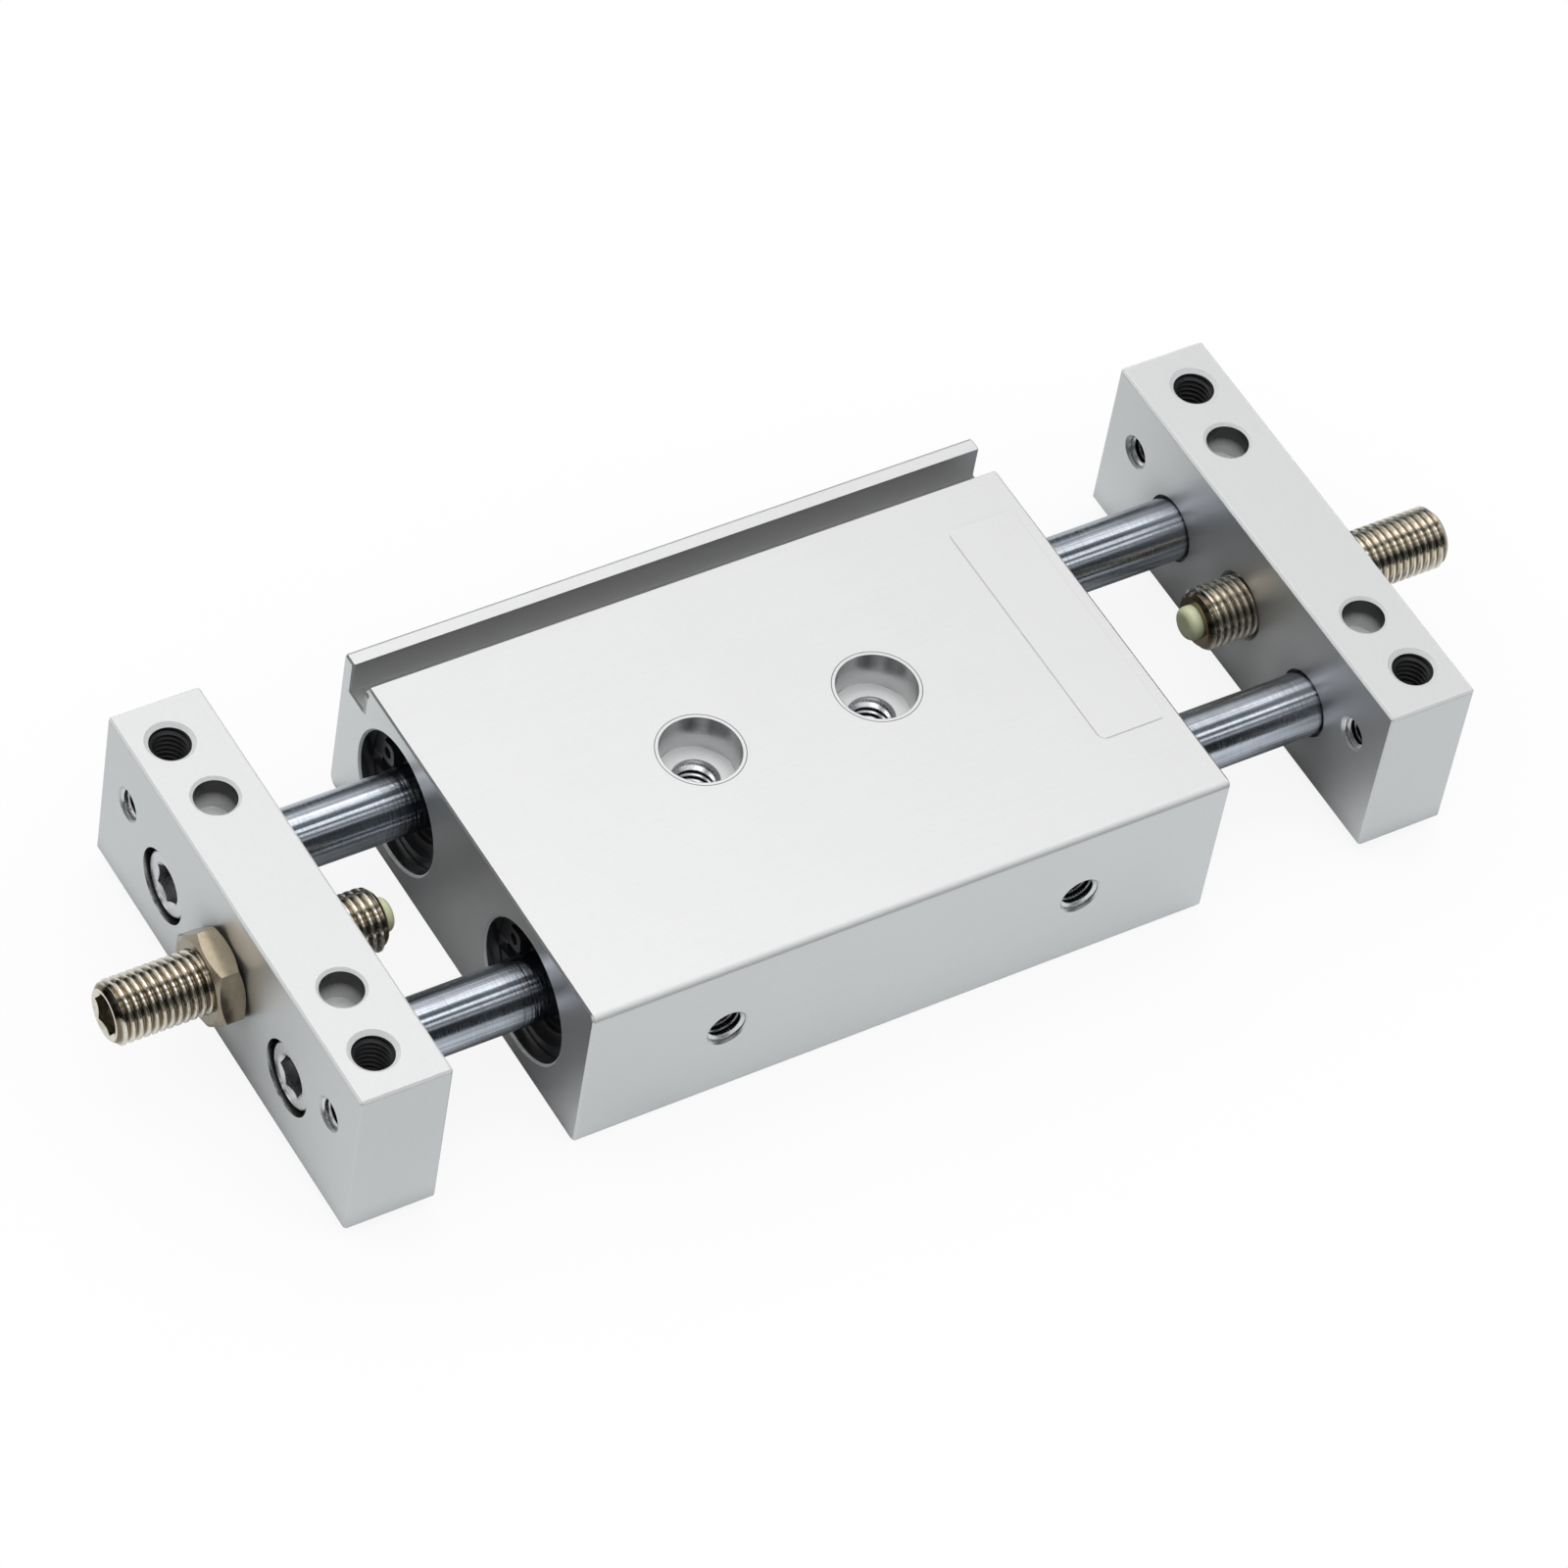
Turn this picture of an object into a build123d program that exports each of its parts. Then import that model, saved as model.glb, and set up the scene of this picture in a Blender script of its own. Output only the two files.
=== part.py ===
from build123d import *
import os
from math import cos, radians, sin, tan

os.makedirs("parts", exist_ok=True)

# Twin-rod slide cylinder with rods out of both ends. X runs along the rods, +Y is the side with
# the sensor slot, and Z is up from the underside of the body. Millimetres throughout.
LEFT = -1
RIGHT = 1
FRONT = -1
BACK = 1
END_NAMES = {LEFT: "left", RIGHT: "right"}
SIDE_NAMES = {FRONT: "front", BACK: "back"}

# Body block
body_length = 86.0
body_width = 60.0
body_height = 22.8
front_corner_radius = 0.8
back_corner_radius = 1.5
rail_corner_radius = 0.5
end_edge_break = 0.25

# Sensor slot along the back edge of the top, behind a thin rail
rail_width = 2.1
slot_width = 3.9
slot_depth = 4.7
slot_ledge_width = 0.9
slot_ledge_drop = 1.5

# Cylinder bores and the pockets that hold the glands
rod_pitch = 30.8
rod_diameter = 8.0
bore_diameter = 16.0
pocket_diameter = 17.8
pocket_mouth_chamfer = 0.3

# Retaining ring in front of each gland
ring_inset = 2.0
ring_thickness = 1.0
ring_groove_width = 1.1
ring_groove_diameter = 18.8
ring_fit_gap = 0.05
ring_band_width = 1.7
ring_lug_width = 3.0
ring_lug_corner_radius = 1.0
ring_lug_reach = 3.4
ring_lug_hole_diameter = 1.5
ring_gap_width = 2.2
ring_gap_angle = -10.0

# Gland: rod bush, with a rod seal in its outer end and an O-ring round it
gland_length = 9.0
gland_clearance = 0.05
rod_running_clearance = 0.03
gland_edge_chamfer = 0.4
seal_housing_diameter = 12.6
seal_housing_depth = 3.8
seal_clearance = 0.05
seal_lip_inset = 0.1
seal_heel_inset = 0.5
seal_groove_depth = 1.0
seal_rim_width = 0.55
seal_lip_width = 0.3
gland_ring_groove_start = 5.2
gland_ring_groove_width = 1.8
gland_ring_groove_depth = 1.2
gland_ring_clearance = 0.02

# End-of-stroke cushion on the inner face of each gland
cushion_thickness = 1.8
cushion_outer_diameter = 15.4
cushion_hole_diameter = 10.4
cushion_edge_chamfer = 0.4

# Pistons and what they carry
piston_length = 14.0
piston_clearance = 0.07
piston_on_rod_clearance = 0.01
piston_edge_chamfer = 0.4
piston_seal_inset = 1.0
piston_seal_width = 2.0
piston_seal_depth = 1.9
piston_seal_clearance = 0.03
piston_seal_lip_drop = 0.35
guide_ring_inset = 4.2
guide_ring_width = 2.8
guide_ring_depth = 1.2
guide_ring_clearance = 0.05
magnet_inset = 8.2
magnet_width = 1.8
magnet_depth = 2.0
magnet_clearance = 0.15
groove_side_gap = 0.05
piston_clip_thickness = 0.8
piston_clip_groove_width = 0.9
piston_clip_groove_depth = 0.4
piston_clip_outer_diameter = 10.4
piston_clip_gap_width = 4.0
piston_clip_seat_gap = 0.05

# Moving carriage: two end plates on the rods. It stands a little right of the middle.
carriage_offset = 1.5
plate_gap = 126.5
plate_thickness = 11.8
plate_width = 62.0
plate_height = 23.2
plate_lift = 1.75
plate_edge_break = 0.3
rod_seat_depth = 3.5
rod_seat_clearance = 0.05
rod_seat_relief_diameter = 8.7
rod_seat_relief_depth = 1.0
rod_end_chamfer = 0.3

# Cap screws that hold the plates to the rod ends
screw_thread_diameter = 5.0
screw_thread_clearance = 0.05
screw_length = 12.0
screw_head_diameter = 8.5
screw_head_height = 5.0
screw_head_chamfer = 0.3
screw_socket_flats = 4.0
screw_socket_depth = 2.5
screw_recess = 0.5
screw_hole_diameter = 5.3
screw_bore_diameter = 9.5
screw_bore_chamfer = 0.2
rod_thread_depth = 12.0

# Fixing holes in the end plates
top_thread_diameter = 5.0
top_thread_chamfer = 0.55
top_thread_spacing = 49.6
top_thread_shift = 1.0
locating_hole_diameter = 5.2
locating_hole_chamfer = 0.4
locating_hole_depth = 5.0
face_thread_diameter = 4.0
face_thread_chamfer = 0.25
face_thread_drop = 9.0

# Stop screws through the middle of the end plates, each with a bumper and a jam nut
stop_thread_diameter = 8.0
stop_thread_clearance = 0.05
stop_hole_chamfer = 0.5
stop_length = 35.0
stop_end_chamfer = 0.8
stop_socket_flats = 4.0
stop_socket_depth = 5.0
stop_reach = {LEFT: 7.8, RIGHT: 6.4}
bumper_diameter = 4.3
bumper_clearance = 0.05
bumper_seat_depth = 4.0
bumper_stand_out = 1.6
bumper_edge_radius = 0.9
nut_flats = 11.0
nut_thickness = 3.6
nut_face_share = 0.94
nut_chamfer_angle = 30.0
nut_turn = 10.0

# Mounting holes through the middle of the body
mount_spacing = 24.0
mount_thread_diameter = 6.0
mount_bore_diameter = 10.0
mount_bore_depth = 5.2
mount_bore_chamfer = 0.5
mount_thread_chamfer = 0.3

# Air ports on the front of the body, each feeding both bores through one cross drilling
port_spacing = 48.0
port_thread_diameter = 5.0
port_thread_depth = 5.0
port_chamfer = 0.22
passage_diameter = 3.0
passage_overrun = 0.6

# Every hole mouth is countersunk to this angle, and a hexagon's corners are this far apart
countersink_angle = 90.0
hexagon_corner_angle = 60.0

# Sizes that follow from those above
rod_height = body_height / 2
plate_middle_height = rod_height + plate_lift
plate_top = plate_middle_height + plate_height / 2
plate_bottom = plate_middle_height - plate_height / 2
pocket_depth = ring_inset + ring_groove_width + gland_length
gland_start = ring_inset + ring_groove_width
gland_radius = pocket_diameter / 2 - gland_clearance
rod_length = plate_gap + 2 * rod_seat_depth
piston_radius = bore_diameter / 2 - piston_clearance
screw_bore_depth = screw_recess + screw_head_height


def rod_y(side):
    return side * rod_pitch / 2


def inner_face_x(end):
    return carriage_offset + end * plate_gap / 2


def outer_face_x(end):
    return inner_face_x(end) + end * plate_thickness


def gland_plane(end, side):
    """Local x runs from the end face of the body into the bore, and local y is the radius."""
    origin = (end * body_length / 2, rod_y(side), rod_height)
    return Plane(origin=origin, x_dir=(-end, 0, 0), z_dir=(0, end, 0))


def rod_plane(side, x=0.0):
    """Local x runs along the rod from the middle of the carriage, and local y is the radius."""
    origin = (carriage_offset + x, rod_y(side), rod_height)
    return Plane(origin=origin, x_dir=(1, 0, 0), z_dir=(0, -1, 0))


def stop_plane(end):
    """Local x runs outwards from the inner face of the end plate, on the stop screw's axis."""
    origin = (inner_face_x(end), 0, plate_middle_height)
    return Plane(origin=origin, x_dir=(end, 0, 0), z_dir=(0, -end, 0))


def turned(plane, points):
    """A solid of revolution about the plane's x axis from an outline of (length, radius) points."""
    with BuildPart() as piece:
        with BuildSketch(plane):
            with BuildLine():
                Polyline(*points, close=True)
            make_face()
        revolve(axis=Axis(plane.origin, plane.x_dir))
    return piece.part


def collar(plane, start, length, inner, outer, edge=0.0):
    """A turned ring, with its outer edges broken if an edge is given."""
    finish = start + length
    if edge:
        rim = [(start, outer - edge), (start + edge, outer), (finish - edge, outer), (finish, outer - edge)]
    else:
        rim = [(start, outer), (finish, outer)]
    return turned(plane, [(start, inner), *rim, (finish, inner)])


def write(part, name):
    part.label = name
    export_step(part, f"parts/{name}.step")


# Body block: the extruded section, then the bores, holes and ports
rail_inner_y = body_width / 2 - rail_width
slot_front_y = rail_inner_y - slot_width
slot_floor_z = body_height - slot_depth
ledge_y = slot_front_y + slot_ledge_width
ledge_z = body_height - slot_ledge_drop

with BuildPart() as body_block:
    with BuildSketch(Plane.YZ) as section:
        with BuildLine():
            Polyline(
                (-body_width / 2, 0),
                (body_width / 2, 0),
                (body_width / 2, body_height),
                (rail_inner_y, body_height),
                (rail_inner_y, slot_floor_z),
                (ledge_y, slot_floor_z),
                (ledge_y, ledge_z),
                (slot_front_y, ledge_z),
                (slot_front_y, body_height),
                (-body_width / 2, body_height),
                close=True,
            )
        make_face()
        fillet(section.vertices().group_by(Axis.X)[0], front_corner_radius)
        fillet(section.vertices().group_by(Axis.X)[-1].sort_by(Axis.Y)[-1], rail_corner_radius)
        fillet(section.vertices().group_by(Axis.X)[-1].sort_by(Axis.Y)[0], back_corner_radius)
    extrude(amount=body_length / 2, both=True)
    end_faces = body_block.faces().filter_by(Axis.X)
    chamfer(end_faces.sort_by(Axis.X)[-1].outer_wire().edges(), end_edge_break)
    chamfer(body_block.faces().filter_by(Axis.X).sort_by(Axis.X)[0].outer_wire().edges(), end_edge_break)
    with BuildSketch(Plane.YZ):
        with Locations((rod_y(FRONT), rod_height), (rod_y(BACK), rod_height)):
            Circle(bore_diameter / 2)
    extrude(amount=body_length, both=True, mode=Mode.SUBTRACT)
    for end in (LEFT, RIGHT):
        for side in (FRONT, BACK):
            mouth = gland_plane(end, side)
            with BuildSketch(mouth):
                with BuildLine():
                    Polyline(
                        (0, 0),
                        (0, pocket_diameter / 2 + pocket_mouth_chamfer),
                        (pocket_mouth_chamfer, pocket_diameter / 2),
                        (ring_inset, pocket_diameter / 2),
                        (ring_inset, ring_groove_diameter / 2),
                        (ring_inset + ring_groove_width, ring_groove_diameter / 2),
                        (ring_inset + ring_groove_width, pocket_diameter / 2),
                        (pocket_depth, pocket_diameter / 2),
                        (pocket_depth, 0),
                        close=True,
                    )
                make_face()
            revolve(axis=Axis(mouth.origin, mouth.x_dir), mode=Mode.SUBTRACT)
    for x in (-mount_spacing / 2, mount_spacing / 2):
        for plane in (Plane((x, 0, body_height)), Plane((x, 0, 0), z_dir=(0, 0, -1))):
            with Locations(plane):
                CounterBoreHole(
                    mount_thread_diameter / 2, mount_bore_diameter / 2, mount_bore_depth, body_height / 2
                )
                Cone(
                    mount_bore_diameter / 2 - mount_bore_chamfer,
                    mount_bore_diameter / 2 + mount_bore_chamfer,
                    2 * mount_bore_chamfer,
                    mode=Mode.SUBTRACT,
                )
            with Locations(plane.offset(-mount_bore_depth)):
                Cone(
                    mount_thread_diameter / 2 - mount_thread_chamfer,
                    mount_thread_diameter / 2 + mount_thread_chamfer,
                    2 * mount_thread_chamfer,
                    mode=Mode.SUBTRACT,
                )
    for x in (-port_spacing / 2, port_spacing / 2):
        with Locations(Plane((x, -body_width / 2, rod_height), z_dir=(0, -1, 0))):
            CounterSinkHole(
                port_thread_diameter / 2,
                port_thread_diameter / 2 + port_chamfer,
                port_thread_depth,
                counter_sink_angle=countersink_angle,
            )
            Hole(passage_diameter / 2, (body_width + rod_pitch - bore_diameter) / 2 + passage_overrun)
write(body_block.part, "body_block")


def gland(end, side):
    bush_radius = rod_diameter / 2 + rod_running_clearance
    groove_radius = gland_radius - gland_ring_groove_depth
    groove_start = gland_start + gland_ring_groove_start
    groove_end = groove_start + gland_ring_groove_width
    inner_end = gland_start + gland_length
    return turned(gland_plane(end, side), [
        (gland_start, seal_housing_diameter / 2),
        (gland_start, gland_radius - gland_edge_chamfer),
        (gland_start + gland_edge_chamfer, gland_radius),
        (groove_start, gland_radius),
        (groove_start, groove_radius),
        (groove_end, groove_radius),
        (groove_end, gland_radius),
        (inner_end - gland_edge_chamfer, gland_radius),
        (inner_end, gland_radius - gland_edge_chamfer),
        (inner_end, bush_radius),
        (gland_start + seal_housing_depth, bush_radius),
        (gland_start + seal_housing_depth, seal_housing_diameter / 2),
    ])


def rod_seal(end, side):
    """A wiper lip on the rod, with a groove between the lip and the rim."""
    outer = seal_housing_diameter / 2 - seal_clearance
    inner = rod_diameter / 2 + rod_running_clearance
    lip_end = gland_start + seal_lip_inset
    heel_end = gland_start + seal_heel_inset
    return turned(gland_plane(end, side), [
        (heel_end, outer),
        (heel_end, outer - seal_rim_width),
        (heel_end + seal_groove_depth, (outer + inner) / 2),
        (lip_end, inner + seal_lip_width),
        (lip_end, inner),
        (gland_start + seal_housing_depth, inner),
        (gland_start + seal_housing_depth, outer),
    ])


def gland_ring(end, side):
    """The O-ring in the groove round the gland."""
    plane = gland_plane(end, side)
    groove_radius = gland_radius - gland_ring_groove_depth
    section_radius = (pocket_diameter / 2 - groove_radius) / 2 - gland_ring_clearance
    middle = gland_start + gland_ring_groove_start + gland_ring_groove_width / 2
    with BuildPart() as ring:
        with BuildSketch(plane):
            with Locations((middle, groove_radius + gland_ring_clearance + section_radius)):
                Circle(section_radius)
        revolve(axis=Axis(plane.origin, plane.x_dir))
    return ring.part


def retaining_ring(end, side):
    """An internal snap ring: a band with two pierced lugs that face each other across its gap."""
    outer = ring_groove_diameter / 2 - ring_fit_gap
    inner = outer - ring_band_width
    lug_middle = ring_gap_width / 2 + ring_lug_width / 2
    lug_foot = inner - ring_lug_reach
    lug_root = (inner + outer) / 2
    plane = Plane(
        origin=(end * (body_length / 2 - gland_start), rod_y(side), rod_height),
        x_dir=(0, cos(radians(ring_gap_angle)), sin(radians(ring_gap_angle))),
        z_dir=(1, 0, 0),
    )
    with BuildPart() as ring:
        with BuildSketch(plane):
            Circle(outer)
            Circle(inner, mode=Mode.SUBTRACT)
            with Locations((outer - ring_band_width / 2, 0)):
                Rectangle(2 * ring_band_width, ring_gap_width, mode=Mode.SUBTRACT)
            for way in (-1, 1):
                with Locations(((lug_foot + lug_root) / 2, way * lug_middle)):
                    RectangleRounded(lug_root - lug_foot, ring_lug_width, ring_lug_corner_radius)
                with Locations((lug_foot + ring_lug_width / 2, way * lug_middle)):
                    Circle(ring_lug_hole_diameter / 2, mode=Mode.SUBTRACT)
        extrude(amount=end * ring_thickness)
    return ring.part


def cushion(end, side):
    return collar(
        gland_plane(end, side), pocket_depth, cushion_thickness, cushion_hole_diameter / 2,
        cushion_outer_diameter / 2, cushion_edge_chamfer,
    )


for end in (LEFT, RIGHT):
    for side in (FRONT, BACK):
        where = f"{END_NAMES[end]}_{SIDE_NAMES[side]}"
        write(gland(end, side), f"rod_gland_{where}")
        write(rod_seal(end, side), f"rod_seal_{where}")
        write(gland_ring(end, side), f"gland_ring_{where}")
        write(retaining_ring(end, side), f"retaining_ring_{where}")
        write(cushion(end, side), f"cushion_{where}")


def rod(side):
    radius = rod_diameter / 2
    half = rod_length / 2
    clip_start = piston_length / 2
    clip_end = clip_start + piston_clip_groove_width
    clip_radius = radius - piston_clip_groove_depth
    plane = rod_plane(side)
    with BuildPart() as shaft:
        with BuildSketch(plane):
            with BuildLine():
                Polyline(
                    (-half, 0),
                    (-half, radius - rod_end_chamfer),
                    (-half + rod_end_chamfer, radius),
                    (-clip_end, radius),
                    (-clip_end, clip_radius),
                    (-clip_start, clip_radius),
                    (-clip_start, radius),
                    (clip_start, radius),
                    (clip_start, clip_radius),
                    (clip_end, clip_radius),
                    (clip_end, radius),
                    (half - rod_end_chamfer, radius),
                    (half, radius - rod_end_chamfer),
                    (half, 0),
                    close=True,
                )
            make_face()
        revolve(axis=Axis(plane.origin, plane.x_dir))
        for end in (LEFT, RIGHT):
            with Locations(Plane((carriage_offset + end * half, rod_y(side), rod_height), z_dir=(end, 0, 0))):
                Hole(screw_thread_diameter / 2, rod_thread_depth)
    return shaft.part


def piston(side):
    """Only the back piston has a magnet groove, because it is the one that passes the sensor slot."""
    inner = rod_diameter / 2 + piston_on_rod_clearance
    grooves = [
        (piston_seal_inset, piston_seal_width, piston_seal_depth),
        (guide_ring_inset, guide_ring_width, guide_ring_depth),
    ]
    if side == BACK:
        grooves.append((magnet_inset, magnet_width, magnet_depth))
    last_groove_start = piston_length - piston_seal_inset - piston_seal_width
    grooves.append((last_groove_start, piston_seal_width, piston_seal_depth))
    outline = [(0, inner), (0, piston_radius - piston_edge_chamfer), (piston_edge_chamfer, piston_radius)]
    for start, width, depth in grooves:
        outline += [
            (start, piston_radius),
            (start, piston_radius - depth),
            (start + width, piston_radius - depth),
            (start + width, piston_radius),
        ]
    outline += [
        (piston_length - piston_edge_chamfer, piston_radius),
        (piston_length, piston_radius - piston_edge_chamfer),
        (piston_length, inner),
    ]
    return turned(rod_plane(side, -piston_length / 2), outline)


def piston_seal(side, end):
    """A lip seal whose lip points at its own end of the cylinder."""
    start = end * (piston_length / 2 - piston_seal_inset - groove_side_gap)
    heel = end * (piston_length / 2 - piston_seal_inset - piston_seal_width + groove_side_gap)
    foot = piston_radius - piston_seal_depth + groove_side_gap
    lip = bore_diameter / 2 - piston_seal_clearance
    heel_radius = piston_radius - piston_seal_lip_drop
    return turned(rod_plane(side), [
        (start, foot),
        (start, foot + piston_seal_lip_drop),
        ((start + heel) / 2, (foot + lip) / 2),
        (start, lip - piston_seal_lip_drop / 2),
        (start, lip),
        (heel, heel_radius),
        (heel, foot),
    ])


def guide_ring(side):
    start = -piston_length / 2 + guide_ring_inset + groove_side_gap
    return collar(
        rod_plane(side), start, guide_ring_width - 2 * groove_side_gap,
        piston_radius - guide_ring_depth + groove_side_gap, bore_diameter / 2 - guide_ring_clearance,
    )


def piston_magnet(side):
    start = -piston_length / 2 + magnet_inset + groove_side_gap
    return collar(
        rod_plane(side), start, magnet_width - 2 * groove_side_gap,
        piston_radius - magnet_depth + groove_side_gap, bore_diameter / 2 - magnet_clearance,
    )


def piston_clips(side):
    """The two snap rings that trap the piston on its rod."""
    inner = rod_diameter / 2 - piston_clip_groove_depth + piston_clip_seat_gap
    outer = piston_clip_outer_diameter / 2
    with BuildPart() as clips:
        for end in (LEFT, RIGHT):
            face_x = carriage_offset + end * piston_length / 2
            plane = Plane(origin=(face_x, rod_y(side), rod_height), x_dir=(0, 1, 0), z_dir=(1, 0, 0))
            with BuildSketch(plane):
                Circle(outer)
                Circle(inner, mode=Mode.SUBTRACT)
                with Locations((0, -outer)):
                    Rectangle(piston_clip_gap_width, 2 * outer, mode=Mode.SUBTRACT)
            extrude(amount=end * piston_clip_thickness)
    return clips.part


for side in (FRONT, BACK):
    write(rod(side), f"rod_{SIDE_NAMES[side]}")
    write(piston(side), f"piston_{SIDE_NAMES[side]}")
    write(guide_ring(side), f"guide_ring_{SIDE_NAMES[side]}")
    write(piston_clips(side), f"piston_clips_{SIDE_NAMES[side]}")
    for end in (LEFT, RIGHT):
        write(piston_seal(side, end), f"piston_seal_{SIDE_NAMES[side]}_{END_NAMES[end]}")
write(piston_magnet(BACK), "piston_magnet")


def end_plate(end):
    middle_x = inner_face_x(end) + end * plate_thickness / 2
    with BuildPart() as plate:
        with BuildSketch(Plane.YZ.offset(inner_face_x(end))):
            with Locations((0, plate_middle_height)):
                Rectangle(plate_width, plate_height)
        extrude(amount=end * plate_thickness)
        chamfer(plate.edges(), plate_edge_break)
        for side in (FRONT, BACK):
            with Locations(Plane((inner_face_x(end), rod_y(side), rod_height), z_dir=(-end, 0, 0))):
                CounterBoreHole(
                    rod_diameter / 2 + rod_seat_clearance,
                    rod_seat_relief_diameter / 2,
                    rod_seat_relief_depth,
                    rod_seat_depth,
                )
            with Locations(Plane((outer_face_x(end), rod_y(side), rod_height), z_dir=(end, 0, 0))):
                CounterBoreHole(
                    screw_hole_diameter / 2, screw_bore_diameter / 2, screw_bore_depth, plate_thickness
                )
                Cone(
                    screw_bore_diameter / 2 - screw_bore_chamfer,
                    screw_bore_diameter / 2 + screw_bore_chamfer,
                    2 * screw_bore_chamfer,
                    mode=Mode.SUBTRACT,
                )
            thread_y = side * top_thread_spacing / 2
            thread_x = middle_x + end * top_thread_shift
            for z, up in ((plate_top, 1), (plate_bottom, -1)):
                with Locations(Plane((thread_x, thread_y, z), z_dir=(0, 0, up))):
                    CounterSinkHole(
                        top_thread_diameter / 2,
                        top_thread_diameter / 2 + top_thread_chamfer,
                        plate_height / 2,
                        counter_sink_angle=countersink_angle,
                    )
            with Locations(Plane((middle_x, rod_y(side), plate_top))):
                CounterSinkHole(
                    locating_hole_diameter / 2,
                    locating_hole_diameter / 2 + locating_hole_chamfer,
                    locating_hole_depth,
                    counter_sink_angle=countersink_angle,
                )
            face_z = plate_top - face_thread_drop
            for x, out in ((inner_face_x(end), -end), (outer_face_x(end), end)):
                with Locations(Plane((x, thread_y, face_z), z_dir=(out, 0, 0))):
                    CounterSinkHole(
                        face_thread_diameter / 2,
                        face_thread_diameter / 2 + face_thread_chamfer,
                        plate_thickness / 2,
                        counter_sink_angle=countersink_angle,
                    )
        for x, out in ((inner_face_x(end), -end), (outer_face_x(end), end)):
            with Locations(Plane((x, 0, plate_middle_height), z_dir=(out, 0, 0))):
                CounterSinkHole(
                    stop_thread_diameter / 2,
                    stop_thread_diameter / 2 + stop_hole_chamfer,
                    plate_thickness / 2,
                    counter_sink_angle=countersink_angle,
                )
    return plate.part


def plate_screws(end):
    """The two socket head cap screws of one end plate."""
    with BuildPart() as screws:
        for side in (FRONT, BACK):
            face_x = outer_face_x(end) - end * screw_recess
            plane = Plane(origin=(face_x, rod_y(side), rod_height), x_dir=(-end, 0, 0), z_dir=(0, end, 0))
            with BuildSketch(plane):
                with BuildLine():
                    Polyline(
                        (0, 0),
                        (0, screw_head_diameter / 2 - screw_head_chamfer),
                        (screw_head_chamfer, screw_head_diameter / 2),
                        (screw_head_height, screw_head_diameter / 2),
                        (screw_head_height, screw_thread_diameter / 2 - screw_thread_clearance),
                        (screw_head_height + screw_length, screw_thread_diameter / 2 - screw_thread_clearance),
                        (screw_head_height + screw_length, 0),
                        close=True,
                    )
                make_face()
            revolve(axis=Axis(plane.origin, plane.x_dir))
            with BuildSketch(Plane(origin=plane.origin, x_dir=(0, 0, 1), z_dir=(end, 0, 0))):
                RegularPolygon(screw_socket_flats / 2, 6, major_radius=False)
            extrude(amount=-screw_socket_depth, mode=Mode.SUBTRACT)
    return screws.part


def stop_screw(end):
    """A fully threaded stop: a socket in its outer end and a bumper's seat in its inner end."""
    plane = stop_plane(end)
    radius = stop_thread_diameter / 2 - stop_thread_clearance
    inner_end = -stop_reach[end]
    outer_end = inner_end + stop_length
    seat_radius = bumper_diameter / 2 + bumper_clearance
    with BuildPart() as screw:
        with BuildSketch(plane):
            with BuildLine():
                Polyline(
                    (inner_end, seat_radius),
                    (inner_end, radius - stop_end_chamfer),
                    (inner_end + stop_end_chamfer, radius),
                    (outer_end - stop_end_chamfer, radius),
                    (outer_end, radius - stop_end_chamfer),
                    (outer_end, 0),
                    (inner_end + bumper_seat_depth, 0),
                    (inner_end + bumper_seat_depth, seat_radius),
                    close=True,
                )
            make_face()
        revolve(axis=Axis(plane.origin, plane.x_dir))
        socket_x = inner_face_x(end) + end * outer_end
        with BuildSketch(Plane((socket_x, 0, plate_middle_height), x_dir=(0, 0, 1), z_dir=(end, 0, 0))):
            RegularPolygon(stop_socket_flats / 2, 6, major_radius=False)
        extrude(amount=-stop_socket_depth, mode=Mode.SUBTRACT)
    return screw.part


def stop_bumper(end):
    """A soft plug with a rounded tip, pressed into the screw's seat."""
    heel = bumper_seat_depth - stop_reach[end]
    heel_plane = stop_plane(end)
    with BuildPart() as bumper:
        with BuildSketch(Plane(heel_plane.origin + heel * heel_plane.x_dir, z_dir=-heel_plane.x_dir)):
            Circle(bumper_diameter / 2)
        extrude(amount=bumper_seat_depth + bumper_stand_out)
        fillet(bumper.edges().sort_by(Axis(heel_plane.origin, -heel_plane.x_dir))[-1], bumper_edge_radius)
    return bumper.part


def jam_nut(end):
    """A thin hexagon nut with both faces chamfered."""
    plane = stop_plane(end)
    corner_radius = nut_flats / 2 / cos(radians(hexagon_corner_angle / 2))
    face_radius = nut_flats / 2 * nut_face_share
    slope = (corner_radius - face_radius) * tan(radians(nut_chamfer_angle))
    start = plate_thickness
    finish = start + nut_thickness
    with BuildPart() as nut:
        with BuildSketch(Plane.YZ.offset(outer_face_x(end))):
            with Locations((0, plate_middle_height)):
                RegularPolygon(nut_flats / 2, 6, major_radius=False, rotation=nut_turn)
        extrude(amount=end * nut_thickness)
        with BuildSketch(plane):
            with BuildLine():
                Polyline(
                    (start, stop_thread_diameter / 2),
                    (start, face_radius),
                    (start + slope, corner_radius),
                    (finish - slope, corner_radius),
                    (finish, face_radius),
                    (finish, stop_thread_diameter / 2),
                    close=True,
                )
            make_face()
        revolve(axis=Axis(plane.origin, plane.x_dir), mode=Mode.INTERSECT)
    return nut.part


for end in (LEFT, RIGHT):
    write(end_plate(end), f"end_plate_{END_NAMES[end]}")
    write(plate_screws(end), f"plate_screws_{END_NAMES[end]}")
    write(stop_screw(end), f"stop_screw_{END_NAMES[end]}")
    write(stop_bumper(end), f"stop_bumper_{END_NAMES[end]}")
    write(jam_nut(end), f"jam_nut_{END_NAMES[end]}")
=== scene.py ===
from math import cos, pi, radians, sin, sqrt, tan

import bmesh
import bpy
from mathutils import Matrix, Vector


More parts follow.
